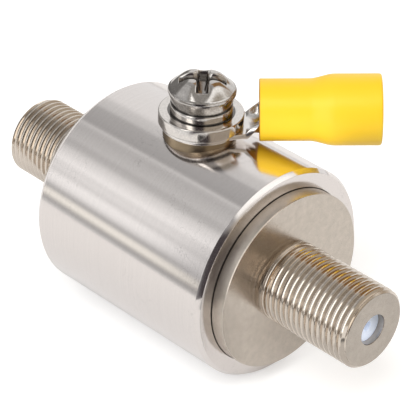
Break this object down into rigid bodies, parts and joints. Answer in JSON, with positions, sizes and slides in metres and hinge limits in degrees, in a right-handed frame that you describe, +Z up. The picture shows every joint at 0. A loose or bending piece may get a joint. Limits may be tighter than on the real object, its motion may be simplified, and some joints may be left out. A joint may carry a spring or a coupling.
{
  "type": "coax lightning arrestor",
  "caption": "Inline coax lightning arrestor: a round metal body with a threaded socket at each end and a ground screw on top that clamps an insulated ring terminal.",
  "frame": {"origin": "on the coax axis, at the middle of the front port's outside thread", "axes": "+X along the coax axis out of the front port, +Z up along the ground screw"},
  "size_m": [0.0545, 0.0295, 0.0331],
  "materials": {
    "body_metal": "satin, turned",
    "port_metal": "nickel plated",
    "cap_metal": "nickel plated",
    "screw_metal": "bright plated",
    "terminal_metal": "tin plated",
    "contact_metal": "bare",
    "insulator_plastic": "plain",
    "tube_ceramic": "plain",
    "sleeve_plastic": "smooth"
  },
  "bodies": {
    "housing": {"housing": "body_metal", "front_port": "port_metal", "rear_port": "port_metal", "front_insulator": "insulator_plastic", "rear_insulator": "insulator_plastic", "front_contact": "contact_metal", "rear_contact": "contact_metal", "front_bead": "insulator_plastic", "rear_bead": "insulator_plastic", "centre_conductor": "contact_metal", "gas_tube": "tube_ceramic", "contact_spring": "contact_metal", "gas_tube_cap": "cap_metal"},
    "washers": {"lock_washer": "screw_metal", "flat_washer": "screw_metal"},
    "ground_screw": {"ground_screw": "screw_metal"},
    "terminal": {"ring_terminal": "terminal_metal", "terminal_sleeve": "sleeve_plastic"}
  },
  "joints": [
    {"name": "screw_lift", "type": "slide", "parent": "housing", "child": "washers", "axis": [0, 0, 1], "range_m": [0, 0.0028]},
    {"name": "screw_turn", "type": "hinge", "parent": "washers", "child": "ground_screw", "pos_m": [-0.02125, 0, 0.014], "axis": [0, 0, 1], "range_deg": [0, 1440]},
    {"name": "terminal_swivel", "type": "hinge", "parent": "housing", "child": "terminal", "pos_m": [-0.02125, 0, 0.0136], "axis": [0, 0, 1], "range_deg": [-5, 95]}
  ],
  "couplings": [
    {"joint": "screw_turn", "follows": "screw_lift", "rad_per_m": 8976}
  ]
}
